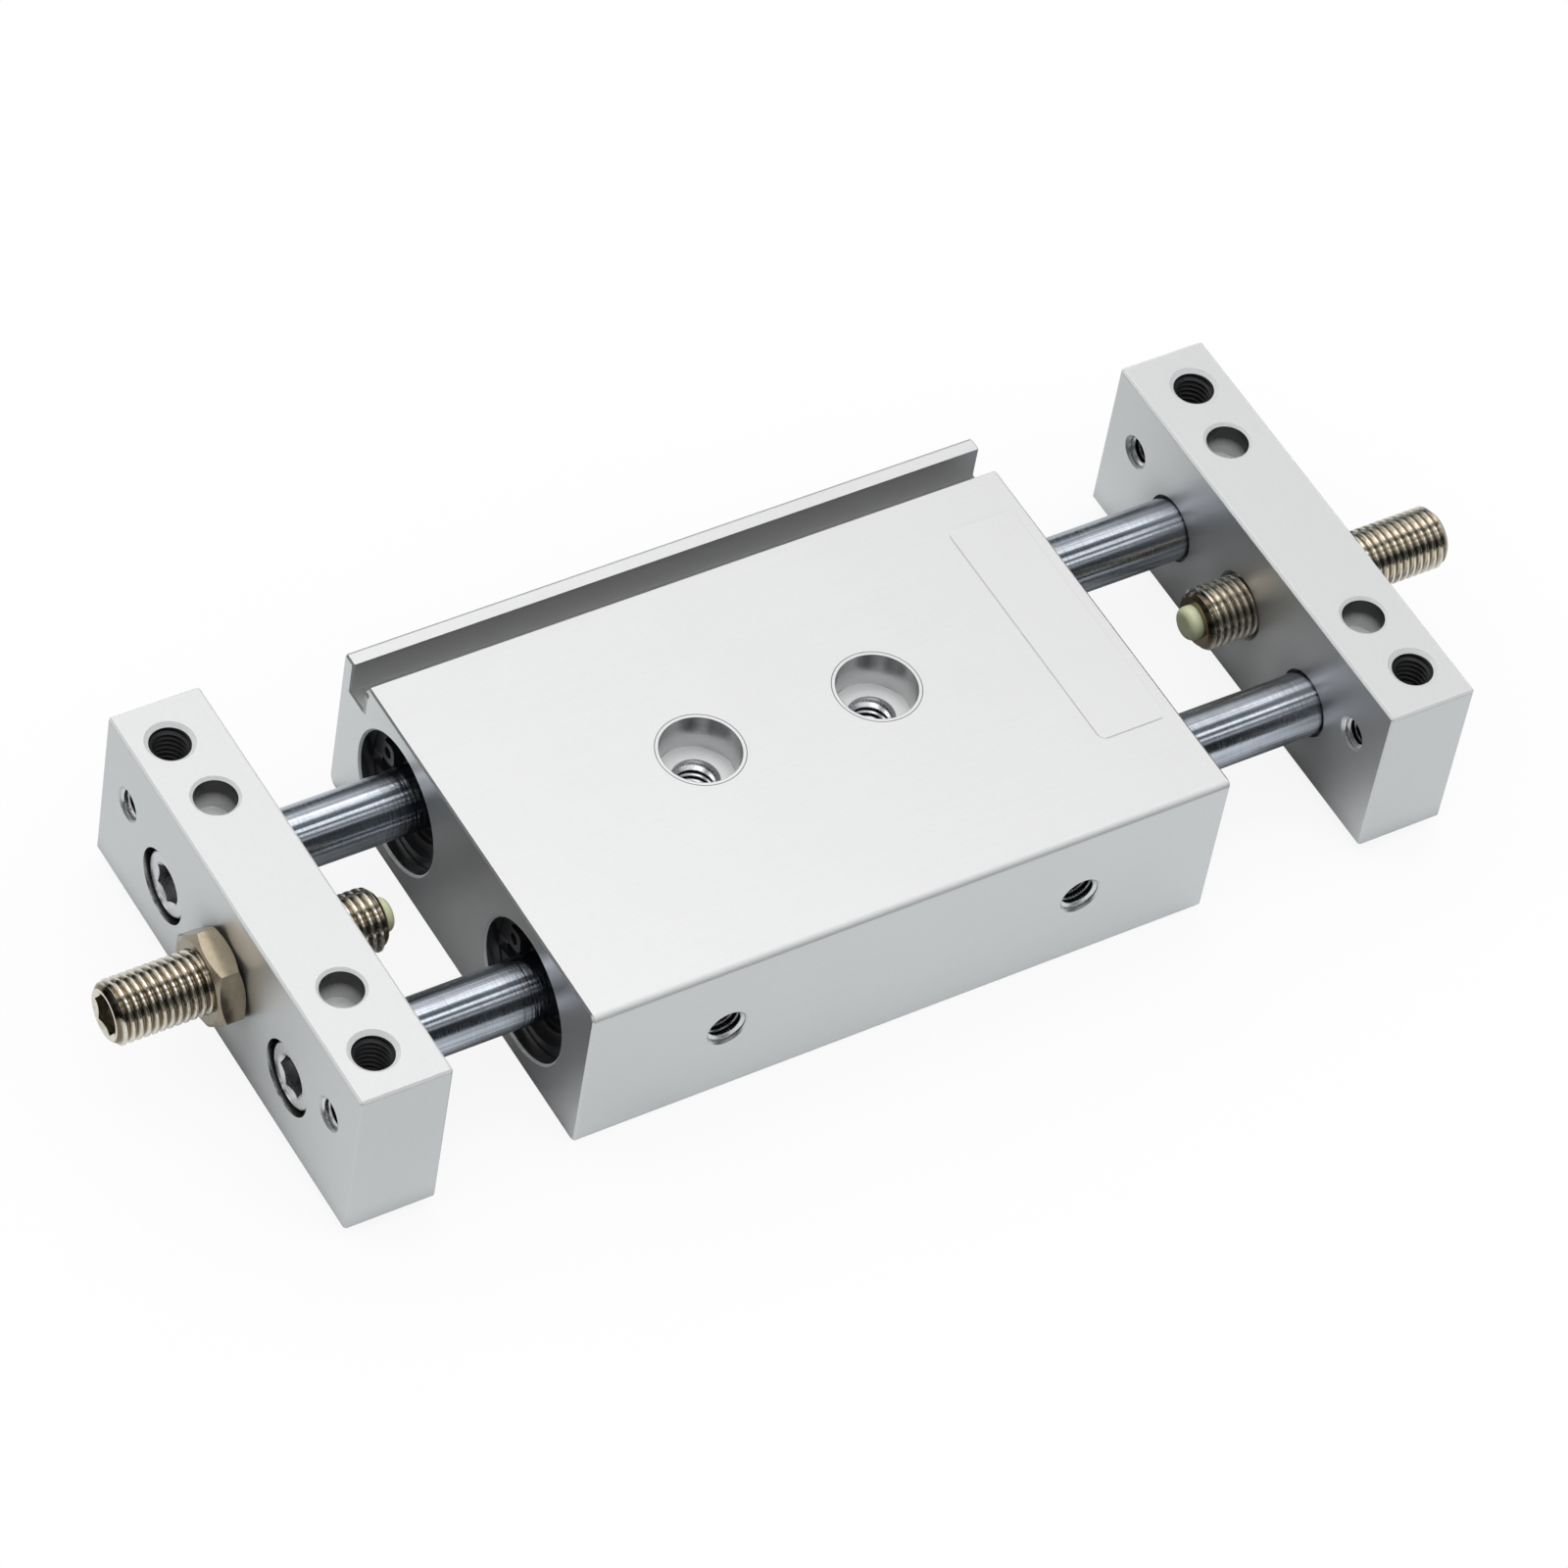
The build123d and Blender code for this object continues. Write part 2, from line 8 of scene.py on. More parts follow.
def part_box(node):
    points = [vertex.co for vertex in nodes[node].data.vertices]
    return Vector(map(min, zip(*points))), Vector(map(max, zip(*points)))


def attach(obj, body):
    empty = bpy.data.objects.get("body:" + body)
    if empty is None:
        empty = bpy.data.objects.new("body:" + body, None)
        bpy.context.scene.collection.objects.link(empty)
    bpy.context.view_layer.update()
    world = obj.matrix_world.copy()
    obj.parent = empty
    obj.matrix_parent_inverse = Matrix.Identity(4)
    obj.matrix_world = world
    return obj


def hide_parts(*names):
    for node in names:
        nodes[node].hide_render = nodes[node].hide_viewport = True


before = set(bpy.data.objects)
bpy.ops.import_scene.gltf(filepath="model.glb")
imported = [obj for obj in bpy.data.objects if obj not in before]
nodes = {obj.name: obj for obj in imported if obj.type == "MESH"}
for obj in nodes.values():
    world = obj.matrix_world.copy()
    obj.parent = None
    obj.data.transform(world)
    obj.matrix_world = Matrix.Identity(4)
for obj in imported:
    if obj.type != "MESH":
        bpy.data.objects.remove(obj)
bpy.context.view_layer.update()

ends = {"left": -1, "right": 1}
sides = {"front": -1, "back": 1}


def middle(node):
    low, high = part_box(node)
    return (low + high) / 2


bodyLow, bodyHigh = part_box("body_block")
rodMiddle = {side: middle("rod_" + side) for side in sides}
stopMiddle = middle("stop_screw_left")
print("frame: %d nodes" % len(nodes))


# Camera, at the photograph's place and angle
cameraSetup = {
    "place": (-0.37978, -0.48155, 0.71536),
    "heading": 38.34,  # degrees from +Y towards +X
    "tilt": 48.95,  # degrees down
    "roll": 10.90,
    "lens": 181.76,
    "sensor": 36.0,
}


def makeCamera(setup):
    data = bpy.data.cameras.new("camera")
    data.lens = setup["lens"]
    data.sensor_width = setup["sensor"]
    data.clip_start = 0.01
    camera = bpy.data.objects.new("camera", data)
    turn = Matrix.Rotation(-radians(setup["heading"]), 4, "Z")
    turn = turn @ Matrix.Rotation(radians(90 - setup["tilt"]), 4, "X")
    turn = turn @ Matrix.Rotation(radians(setup["roll"]), 4, "Z")
    camera.matrix_world = Matrix.Translation(setup["place"]) @ turn
    bpy.context.scene.collection.objects.link(camera)
    bpy.context.scene.camera = camera


makeCamera(cameraSetup)


# Shader nodes
class Wire:
    # a socket that can be used in an expression; an expression on values adds Math nodes
    def __init__(self, sheet, socket):
        self.sheet = sheet
        self.socket = socket

    def maths(self, operation, *others):
        values = dict(enumerate([self, *others]))
        return self.sheet.node("ShaderNodeMath", {"operation": operation}, values)

    def __add__(self, other):
        return self.maths("ADD", other)

    def __sub__(self, other):
        return self.maths("SUBTRACT", other)

    def __mul__(self, other):
        return self.maths("MULTIPLY", other)

    def __truediv__(self, other):
        return self.maths("DIVIDE", other)

    def __rsub__(self, other):
        return self.sheet.node("ShaderNodeMath", {"operation": "SUBTRACT"}, {0: other, 1: self})

    __radd__ = __add__
    __rmul__ = __mul__

    def over(self, edge, width):
        # 0 below the edge, 1 above it, with a ramp of this width
        return self.sheet.node(
            "ShaderNodeMapRange", {"clamp": True}, {"Value": self, "From Min": edge, "From Max": edge + width}
        )

    def within(self, low, high, width):
        # 1 between two edges, with a ramp of this width at each
        return self.over(low, width) * (1 - self.over(high, width))


class Sheet:
    # the node tree of one material, or of the world
    def __init__(self, owner, shader, finish, coordinates):
        owner.use_nodes = True
        self.owner = owner
        self.tree = owner.node_tree
        self.shader = self.tree.nodes[shader]
        for key, value in finish.items():
            self.shader.inputs[key].default_value = value
        self.place = self.node("ShaderNodeTexCoord", {}, {}, coordinates)

    def node(self, kind, settings, values, output=0):
        made = self.tree.nodes.new(kind)
        for key, value in settings.items():
            if key == "stops":
                for spot, (at, colour) in enumerate(value):
                    ramp = made.color_ramp.elements
                    stop = ramp[spot] if spot < len(ramp) else ramp.new(at)
                    stop.position = at
                    stop.color = colour
            else:
                setattr(made, key, value)
        for key, value in values.items():
            if isinstance(value, Wire):
                self.tree.links.new(value.socket, made.inputs[key])
            else:
                made.inputs[key].default_value = value
        if output is None:
            return [Wire(self, socket) for socket in made.outputs]
        return Wire(self, made.outputs[output])

    def feed(self, key, value):
        self.tree.links.new(value.socket, self.shader.inputs[key])

    def moved(self, location=(0, 0, 0), scale=(1, 1, 1)):
        values = {"Vector": self.place, "Location": location, "Scale": scale}
        return self.node("ShaderNodeMapping", {}, values)

    def axes(self, vector=None):
        return self.node("ShaderNodeSeparateXYZ", {}, {0: vector or self.place}, None)

    def noise(self, size, detail=3.0, rough=0.5, stretch=(1, 1, 1), offset=0.0):
        # size is the size of a blotch in metres
        spot = self.moved((offset, offset, offset), [part / size for part in stretch])
        return self.node(
            "ShaderNodeTexNoise", {}, {"Vector": spot, "Scale": 1.0, "Detail": detail, "Roughness": rough}
        )

    def blend(self, share, first, second):
        settings = {"data_type": "RGBA", "clamp_factor": True}
        return self.node("ShaderNodeMix", settings, {0: share, 6: first, 7: second}, 2)

    def bump(self, height, distance, strength=1.0, normal=None):
        values = {"Height": height, "Distance": distance, "Strength": strength}
        if normal:
            values["Normal"] = normal
        return self.node("ShaderNodeBump", {}, values)

    def soft(self, radius):
        # rounds the look of sharp edges
        return self.node("ShaderNodeBevel", {"samples": 6}, {"Radius": radius})

    def openness(self, reach):
        # 1 in the open, less where something stands within this reach
        return self.node("ShaderNodeAmbientOcclusion", {"samples": 8}, {"Distance": reach}, "AO")

    def radius(self, centre, axis):
        # distance from the line through this point along one of the axes
        parts = self.axes(self.moved([-value for value in centre]))
        parts.pop(axis)
        return (parts[0] * parts[0] + parts[1] * parts[1]).maths("SQRT")


def most(masks):
    # the largest of several masks at every point
    whole = masks[0]
    for mask in masks[1:]:
        whole = whole.maths("MAXIMUM", mask)
    return whole


def newMaterial(name, finish):
    return Sheet(bpy.data.materials.new(name), "Principled BSDF", finish, "Object")


def grey(value):
    return (value, value, value, 1.0)


def scaled(colour, factor):
    return (colour[0] * factor, colour[1] * factor, colour[2] * factor, 1.0)


# Clear anodised aluminium: fine matt grain, faint clouds, and drawn lines along the extrusion
anodised = {
    "colour": (0.81, 0.81, 0.81, 1.0),
    "darkest": 0.96,
    "lightest": 1.04,
    "metallic": 0.85,
    "bodyRoughness": 0.34,
    "plateRoughness": 0.42,
    "uneven": 0.08,  # how much grain and clouds each change the roughness
    "grainSize": 0.00022,
    "cloudSize": 0.018,
    "drawnSize": 0.0004,
    "drawnStretch": 0.012,
    "depth": 0.000014,
    "edgeRadius": 0.00008,
    "contactReach": 0.005,  # the plates get painted shade where other pieces stand this close
    "contactRamp": (0.35, 0.6),
    "contactShade": 0.55,
}
# The slot's wall: a darker colour as painted shade, and a rougher finish
slotShadeAndFinish = {"colour": (0.48, 0.48, 0.475, 1.0), "roughness": 0.45, "border": 0.00003}
# Painted highlight: the top edges and the chamfers at the bores' mouths are white and matte
edgeHighlight = {
    "colour": (0.98, 0.98, 0.98, 1.0),
    "metallic": 0.0,
    "roughness": 0.5,
    "body": 0.0008,  # widths of the highlighted edges
    "plate": 0.0004,
}
# Bores' walls: polished metal, darkened by painted shade (dark in the body, deep in the plates)
boredWall = {
    "colour": (0.86, 0.86, 0.86, 1.0),
    "dark": (0.315, 0.315, 0.3225, 1.0),
    "deep": (0.05, 0.05, 0.052, 1.0),  # painted shade at the mouths of the plates' holes
    "plateFade": (0.0198, 0.0034),  # the height from which their painted shade sets in towards the mouth, and over how much
    "boltFade": (0.0062, 0.0036),  # the same for a mounting hole, away from the body's middle
    "metallic": 0.92,
    "roughness": 0.15,
}
# Painted light: an upright bore's floor is white and matte, so it stays bright down in the hole
paintedLightFloor = {"colour": (0.98, 0.98, 0.98, 1.0), "metallic": 0.0, "roughness": 0.40}
mouthLine = {"radius": 0.00535, "width": 0.00013, "colour": (0.13, 0.13, 0.14, 1.0)}
border = 0.00002  # width of the ramp at the border of a bore's mask


# A bore is (a point on its axis, the axis, radius, mouth's radius, low, high, how much painted shade darkens
# its wall). Its wall is unanodised metal with painted shade, the chamfer at its mouth is white as a painted
# highlight, and an upright one has a white floor as painted light. A highlighted edge is (axis, place, way
# inwards, width), at the height of the top, with a painted highlight. The slot is (front y, back y, lowest
# z), and its wall has painted shade.
def anodisedMaterial(name, drawn, roughness, bores, top, edges, slot=None):
    sheet = newMaterial(name, {"Metallic": anodised["metallic"], "Roughness": roughness})
    spot = sheet.axes()
    y, z = spot[1:]
    grain = sheet.noise(anodised["grainSize"], 5.0, 0.65)
    cloud = sheet.noise(anodised["cloudSize"], 4.0, 0.55, offset=0.3)
    stretch = anodised["drawnStretch"] if drawn else 1.0
    lines = sheet.noise(anodised["drawnSize"], 2.0, 0.5, stretch=(stretch, 1, 1))
    tone = (grain * 0.4 + cloud * 0.4 + lines * 0.2).over(0.3, 0.4)
    base = anodised["colour"]
    colour = sheet.blend(tone, scaled(base, anodised["darkest"]), scaled(base, anodised["lightest"]))
    # painted shade: the plates' colour is darker where other pieces stand close
    if not drawn:
        clear = sheet.openness(anodised["contactReach"]).over(*anodised["contactRamp"])
        colour = sheet.blend(clear, scaled(base, anodised["contactShade"]), colour)
    rough = (cloud + grain) * anodised["uneven"] + (roughness - anodised["uneven"])
    metal = anodised["metallic"]

    walls, shades, floors, highlighted, lined = [], [], [], [], []
    for point, axis, radius, mouth, low, high, darkness in bores:
        away = sheet.radius(point, axis)
        along = spot[axis].within(low, high - border, border)
        rim = away.over(radius - 3 * border, border)
        wall = along * rim * (1 - away.over(radius + border, border))
        walls.append(wall)
        # painted highlight on the chamfer at the mouth
        if mouth > radius:
            highlighted.append(along * away.within(radius + border, mouth - border, border))
        if axis == 2 and drawn:  # bored from both sides, with a fine dark line in the chamfer
            fade = (z - (low + high) / 2).maths("ABSOLUTE").over(*boredWall["boltFade"])
            line = away.within(mouthLine["radius"], mouthLine["radius"] + mouthLine["width"], border)
            lined.append(line * (grain * 0.4 + 0.6))
        elif axis == 2:
            fade = z.over(*boredWall["plateFade"])
        else:
            fade = 1.0
        # painted shade on the bore's wall
        shades.append(wall * fade * darkness)
        # painted light: the white floor inside an upright bore
        if axis == 2:
            floors.append(along * (1 - rim))
    wall = most(walls)
    floor = most(floors)
    dark = boredWall["dark" if drawn else "deep"]
    shadedWall = sheet.blend(grain * 0.3 + most(shades) * 0.85, boredWall["colour"], dark)
    colour = sheet.blend(floor, sheet.blend(wall, colour, shadedWall), paintedLightFloor["colour"])
    rough = rough * (1 - wall.maths("MAXIMUM", floor))
    rough = rough + wall * (grain * 0.1 + boredWall["roughness"]) + floor * paintedLightFloor["roughness"]
    shine = wall * (boredWall["metallic"] - metal) + metal + floor * (paintedLightFloor["metallic"] - metal)

    if slot:
        # painted shade on the slot's wall
        slotShaded = y.within(slot[0], slot[1], slotShadeAndFinish["border"]) * z.over(slot[2], slotShadeAndFinish["border"])
        colour = sheet.blend(slotShaded, colour, slotShadeAndFinish["colour"])
        rough = rough * (1 - slotShaded) + slotShaded * slotShadeAndFinish["roughness"]
    # painted highlight along the top edges
    for axis, place, way, width in edges:
        close = 1 - ((spot[axis] - place) * way).over(width * 0.7, width * 0.4)
        highlighted.append(close * z.over(top - width * 1.1, width * 0.4))
    highlightMask = most(highlighted)
    colour = sheet.blend(highlightMask, colour, edgeHighlight["colour"])
    shine = shine + highlightMask * (edgeHighlight["metallic"] - metal)
    rough = rough * (1 - highlightMask) + highlightMask * edgeHighlight["roughness"]
    if lined:
        colour = sheet.blend(most(lined), colour, mouthLine["colour"])
    sheet.feed("Base Color", colour)
    sheet.feed("Metallic", shine)
    sheet.feed("Roughness", rough)
    texture = grain * 0.7 + lines * 0.3
    soft = sheet.soft(anodised["edgeRadius"])
    sheet.feed("Normal", sheet.bump(texture, anodised["depth"], 0.6, soft))
    return sheet.owner


# Hard chrome on the rods: round-ground, with faint rings, and very fine dark and light lines along the rod as
# painted reflection of streaks
chrome = {
    "colour": (0.52, 0.55, 0.61, 1.0),
    "darkest": 0.66,
    "lightest": 1.22,
    "toneRamp": (0.38, 0.24),
    "roughness": 0.07,
    "ringSize": 0.00004,
    "ringDepth": 0.000022,
    "lineSize": 0.00055,
    "cloudSize": 0.006,
}


def chromeMaterial():
    sheet = newMaterial("hard_chrome", {"Metallic": 1.0, "Roughness": chrome["roughness"]})
    rings = sheet.noise(chrome["ringSize"], 1.0, 0.5, stretch=(1, 0.004, 0.004))
    lines = sheet.noise(chrome["lineSize"], 4.0, 0.65, stretch=(0.01, 1, 1))
    cloud = sheet.noise(chrome["cloudSize"], 2.0, 0.5)
    base = chrome["colour"]
    # painted reflection: the lines along the rod are dark and light like reflected streaks
    tone = (lines * 0.85 + cloud * 0.15).over(*chrome["toneRamp"])
    colour = sheet.blend(tone, scaled(base, chrome["darkest"]), scaled(base, chrome["lightest"]))
    sheet.feed("Base Color", colour)
    sheet.feed("Roughness", cloud * 0.06 + (chrome["roughness"] - 0.03))
    sheet.feed("Normal", sheet.bump(rings, chrome["ringDepth"], 1.0, sheet.soft(0.00008)))
    return sheet.owner


# Nickel on the stop screws and nuts: warm, a little uneven, with painted shade in the thread's roots
nickelThread = {
    "colour": (0.88, 0.82, 0.71, 1.0),
    "rootShade": (0.22, 0.17, 0.11, 1.0),
    "roughness": 0.14,
    "lump": 0.0006,
    "depth": 0.00004,
    "rootShare": 0.7,  # of the thread's depth, over which the root's painted shade fades out
    "inside": 0.067,  # nearer the body than this, the screw's end face gets painted shade too
}
nickelNut = {"colour": (0.36, 0.305, 0.225, 1.0), "roughness": 0.16, "lump": 0.0009, "depth": 0.000016}
nickelGrain = 0.00025


def nickelMaterial(name, setup, rootRadius=0, crestRadius=0):
    sheet = newMaterial(name, {"Metallic": 1.0, "Roughness": setup["roughness"]})
    grain = sheet.noise(nickelGrain, 4.0, 0.6)
    lump = sheet.noise(setup["lump"], 3.0, 0.55)
    base = setup["colour"]
    tone = (lump * 0.6 + grain * 0.4).over(0.3, 0.4)
    colour = sheet.blend(tone, scaled(base, 0.78), scaled(base, 1.1))
    # painted shade: dark thread roots, and a dark end face near the body
    if crestRadius:
        away = sheet.radius(stopMiddle, 0)
        rootShaded = 1 - away.over(rootRadius, (crestRadius - rootRadius) * setup["rootShare"])
        inward = 1 - sheet.axes()[0].maths("ABSOLUTE").over(setup["inside"], 0.001)
        outer = away.over(rootRadius * 0.9, 0.00005)  # the socket and the flat round it get no painted shade
        rootShaded = rootShaded * outer.maths("MAXIMUM", inward)
        colour = sheet.blend(rootShaded, colour, setup["rootShade"])
    sheet.feed("Base Color", colour)
    sheet.feed("Roughness", grain * 0.12 + lump * 0.08 + (setup["roughness"] - 0.08))
    texture = grain * 0.4 + lump * 0.6
    sheet.feed("Normal", sheet.bump(texture, setup["depth"], 0.6, sheet.soft(0.0001)))
    return sheet.owner


# Other finishes, each from a base colour, a metal share, a roughness and a grain
finishes = {
    "zinc": {"colour": (0.74, 0.74, 0.75, 1.0), "metallic": 1.0, "roughness": 0.28, "grain": 0.0003,
             "depth": 0.000006, "shadeReach": 0.0025},
    "phosphate": {"colour": (0.075, 0.075, 0.08, 1.0), "metallic": 0.6, "roughness": 0.36, "grain": 0.0002,
                  "depth": 0.00001},
    "machined": {"colour": (0.62, 0.62, 0.63, 1.0), "metallic": 0.9, "roughness": 0.34, "grain": 0.0004,
                 "depth": 0.00001},
    "rubber": {"colour": (0.022, 0.022, 0.024, 1.0), "metallic": 0.0, "roughness": 0.62, "grain": 0.0002,
               "depth": 0.00002},
    "acetal": {"colour": (0.80, 0.78, 0.70, 1.0), "metallic": 0.0, "roughness": 0.45, "grain": 0.0005,
               "depth": 0.000006},
    "magnet": {"colour": (0.05, 0.05, 0.055, 1.0), "metallic": 0.0, "roughness": 0.7, "grain": 0.0003,
               "depth": 0.00002},
    # painted shade: the threads in the plates' top holes are near black
    "shaded_thread": {"colour": (0.035, 0.035, 0.037, 1.0), "metallic": 0.4, "roughness": 0.45, "grain": 0.0003,
                    "depth": 0.00001},
    "thread": {"colour": (0.90, 0.90, 0.91, 1.0), "metallic": 0.8, "roughness": 0.22, "grain": 0.0003,
               "depth": 0.00001, "groove": 0.3},
}


def plainFinish(kind):
    setup = finishes[kind]
    sheet = newMaterial(kind, {"Metallic": setup["metallic"], "Roughness": setup["roughness"]})
    grain = sheet.noise(setup["grain"], 4.0, 0.6)
    cloud = sheet.noise(setup["grain"] * 12, 2.0, 0.5)
    tone = grain * 0.5 + cloud * 0.5
    colour = sheet.blend(tone, scaled(setup["colour"], 0.85), scaled(setup["colour"], 1.12))
    if "shadeReach" in setup:  # painted shade in the sockets and grooves, within this reach
        clear = sheet.openness(setup["shadeReach"]).over(0.45, 0.3)
        colour = sheet.blend(clear, scaled(setup["colour"], 0.08), colour)
    if "groove" in setup:  # the share of a thread's depth at which painted shade turns it dark
        sunk = sheet.node("ShaderNodeAttribute", {"attribute_name": "groove"}, {}, "Fac")
        colour = sheet.blend(sunk.over(setup["groove"], 0.2), colour, scaled(setup["colour"], 0.03))
    sheet.feed("Base Color", colour)
    sheet.feed("Roughness", tone * 0.16 + (setup["roughness"] - 0.08))
    sheet.feed("Normal", sheet.bump(grain, setup["depth"], 0.6, sheet.soft(0.0001)))
    return sheet.owner


# Turned dark glands: rings from the lathe round each rod
turned = {"dark": 0.075, "light": 0.17, "ringSpacing": 0.00018, "grain": 0.0003, "depth": 0.000012}


def turnedMaterial(side):
    sheet = newMaterial("turned_" + side, {"Metallic": 0.7, "Roughness": 0.4})
    away = sheet.radius(rodMiddle[side], 0)
    rings = (away * (2 * pi / turned["ringSpacing"])).maths("SINE") * 0.5 + 0.5
    grain = sheet.noise(turned["grain"], 4.0, 0.6)
    tone = rings * 0.5 + grain * 0.5
    sheet.feed("Base Color", sheet.blend(tone, grey(turned["dark"]), grey(turned["light"])))
    sheet.feed("Roughness", grain * 0.2 + 0.3)
    texture = rings * 0.6 + grain * 0.4
    sheet.feed("Normal", sheet.bump(texture, turned["depth"], 0.6, sheet.soft(0.0001)))
    return sheet.owner


# Urethane: pale, slightly green, cloudy, with light passing a little way in
urethane = {
    "colour": (0.76, 0.78, 0.53, 1.0),
    "shade": (0.60, 0.63, 0.39, 1.0),
    "cloud": 0.0016,
    "grain": 0.0002,
    "finish": {
        "Subsurface Weight": 0.35,
        "Subsurface Scale": 0.0012,
        "Subsurface Radius": (1.0, 1.0, 0.6),
        "Specular IOR Level": 0.5,
    },
}


def urethaneMaterial():
    sheet = newMaterial("urethane", urethane["finish"])
    cloud = sheet.noise(urethane["cloud"], 3.0, 0.5)
    grain = sheet.noise(urethane["grain"], 3.0, 0.6)
    tone = cloud * 0.7 + grain * 0.3
    sheet.feed("Base Color", sheet.blend(tone, urethane["shade"], urethane["colour"]))
    sheet.feed("Roughness", grain * 0.2 + 0.3)
    sheet.feed("Normal", sheet.bump(grain, 0.00001, 0.4))
    return sheet.owner


# Clear film of the blank label, with a greyer cut edge that shows less on its right and its back
label = {
    "left": 0.03215,
    "right": 0.0415,
    "front": -0.0181,
    "back": 0.0179,
    "corner": 0.0012,
    "cornerSteps": 8,
    "thickness": 0.00004,
    "edgeWidth": 0.00016,
    "edgeGrey": 0.50,
    "litWidth": 0.0004,
    "litShare": 0.8,
    "greys": (0.79, 0.82),
}


def filmMaterial(setup):
    sheet = newMaterial("label_film", {"Metallic": 0.8, "Roughness": 0.3})
    cloud = sheet.noise(0.01, 3.0, 0.5)
    grain = sheet.noise(0.0003, 4.0, 0.6)
    x, y = sheet.axes()[:2]
    halfLength = (setup["right"] - setup["left"]) / 2 - setup["edgeWidth"]
    halfWidth = (setup["back"] - setup["front"]) / 2 - setup["edgeWidth"]
    outX = (x - (setup["right"] + setup["left"]) / 2).maths("ABSOLUTE") - halfLength
    outY = (y - (setup["back"] + setup["front"]) / 2).maths("ABSOLUTE") - halfWidth
    edge = most([outX, outY]).over(0, 0.00002)
    lit = [along.over(setup[way] - setup["litWidth"], 0.0001) for along, way in ((x, "right"), (y, "back"))]
    edge = edge * (1 - most(lit) * setup["litShare"])
    colour = sheet.blend(cloud, grey(setup["greys"][0]), grey(setup["greys"][1]))
    sheet.feed("Base Color", sheet.blend(edge * (grain * 0.5 + 0.5), colour, grey(setup["edgeGrey"])))
    sheet.feed("Roughness", grain * 0.1 + cloud * 0.06 + 0.22)
    sheet.feed("Normal", sheet.bump(grain, 0.000006, 0.4))
    return sheet.owner


# Holes, as the CAD has them; darkness is how much painted shade darkens a bore's wall at its darkest
bodyHoles = {
    "boltSpacing": 0.024,
    "boltRadius": 0.005,
    "boltMouth": 0.0055,
    "boltDepth": 0.0052,
    "boltChamfer": 0.0003,
    "boltDarkness": 0.9,
    "rodRadius": 0.0089,
    "rodMouth": 0.0092,
    "rodDarkness": 1.15,
    "portSpacing": 0.048,
    "portChamfer": 0.00022,
    "portLength": 0.0045,
    "slot": (0.02403, 0.02788, 0.0180),
}
plateHoles = {
    "topShift": 0.001,  # outwards of the plate's middle
    "topSpacing": 0.0496,
    "topRadius": 0.0025,
    "topMouth": 0.00305,
    "topLength": 0.0062,
    "footLength": 0.0105,
    "holeDarkness": 1.3,
    "pinRadius": 0.0026,
    "pinMouth": 0.0030,
    "pinFloor": 0.015,
    "headRadius": 0.00475,
    "headStretch": {"left": (-1.0, -0.068), "right": (0.071, 1.0)},
    "headDarkness": 0.36,
    "faceDrop": 0.009,
    "faceChamfer": 0.00025,
    "outerLength": 0.0020,
    "innerLength": 0.0040,
}


def bodyBores(setup):
    bores = []
    for way in ends.values():
        point = (way * setup["boltSpacing"] / 2, 0, 0)
        sizes = (setup["boltRadius"], setup["boltMouth"], bodyLow.z, bodyHigh.z)
        bores.append((point, 2, *sizes, setup["boltDarkness"]))
    for side in sides:
        sizes = (setup["rodRadius"], setup["rodMouth"], bodyLow.x, bodyHigh.x)
        bores.append((rodMiddle[side], 0, *sizes, setup["rodDarkness"]))
    return bores


def plateBores(end, setup):
    low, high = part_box("end_plate_" + end)
    middleX = (low.x + high.x) / 2
    bores = []
    for side, way in sides.items():
        point = (middleX, rodMiddle[side].y, rodMiddle[side].z)
        sizes = (setup["pinRadius"], setup["pinMouth"], setup["pinFloor"], high.z)
        bores.append((point, 2, *sizes, setup["holeDarkness"]))
        sizes = (setup["headRadius"], setup["headRadius"], *setup["headStretch"][end])
        bores.append((point, 0, *sizes, setup["headDarkness"]))
        point = (middleX + ends[end] * setup["topShift"], way * setup["topSpacing"] / 2, 0)
        sizes = (setup["topRadius"], setup["topMouth"], low.z, high.z)
        bores.append((point, 2, *sizes, setup["holeDarkness"]))
    return bores


materials = {kind: plainFinish(kind) for kind in finishes}
materials["body"] = anodisedMaterial(
    "anodised_body", True, anodised["bodyRoughness"], bodyBores(bodyHoles), bodyHigh.z,
    [(1, bodyLow.y, 1, edgeHighlight["body"])], bodyHoles["slot"],
)
for end in ends:
    low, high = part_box("end_plate_" + end)
    edges = []
    for axis in (0, 1):
        edges.append((axis, low[axis], 1, edgeHighlight["plate"]))
        edges.append((axis, high[axis], -1, edgeHighlight["plate"]))
    materials["plate_" + end] = anodisedMaterial(
        "anodised_plate_" + end, False, anodised["plateRoughness"], plateBores(end, plateHoles), high.z, edges
    )
materials["chrome"] = chromeMaterial()
materials["nut"] = nickelMaterial("nickel_nut", nickelNut)
materials["urethane"] = urethaneMaterial()
materials["film"] = filmMaterial(label)
for side in sides:
    materials["turned_" + side] = turnedMaterial(side)

finishOf = {
    "body_block": "body",
    "end_plate_left": "plate_left",
    "end_plate_right": "plate_right",
    "rod_seal": "rubber",
    "rod_gland_left_front": "turned_front",
    "rod_gland_right_front": "turned_front",
    "rod_gland_left_back": "turned_back",
    "rod_gland_right_back": "turned_back",
    "gland_ring": "rubber",
    "cushion": "rubber",
    "retaining_ring": "phosphate",
    "piston_seal": "rubber",
    "piston_magnet": "magnet",
    "piston_clips": "phosphate",
    "piston": "machined",
    "guide_ring": "acetal",
    "rod": "chrome",
    "plate_screws": "zinc",
    "stop_screw": "nut",
    "stop_bumper": "urethane",
    "jam_nut": "nut",
}


def dress(node, materialName):
    mesh = nodes[node].data
    mesh.materials.clear()
    mesh.materials.append(materials[materialName])


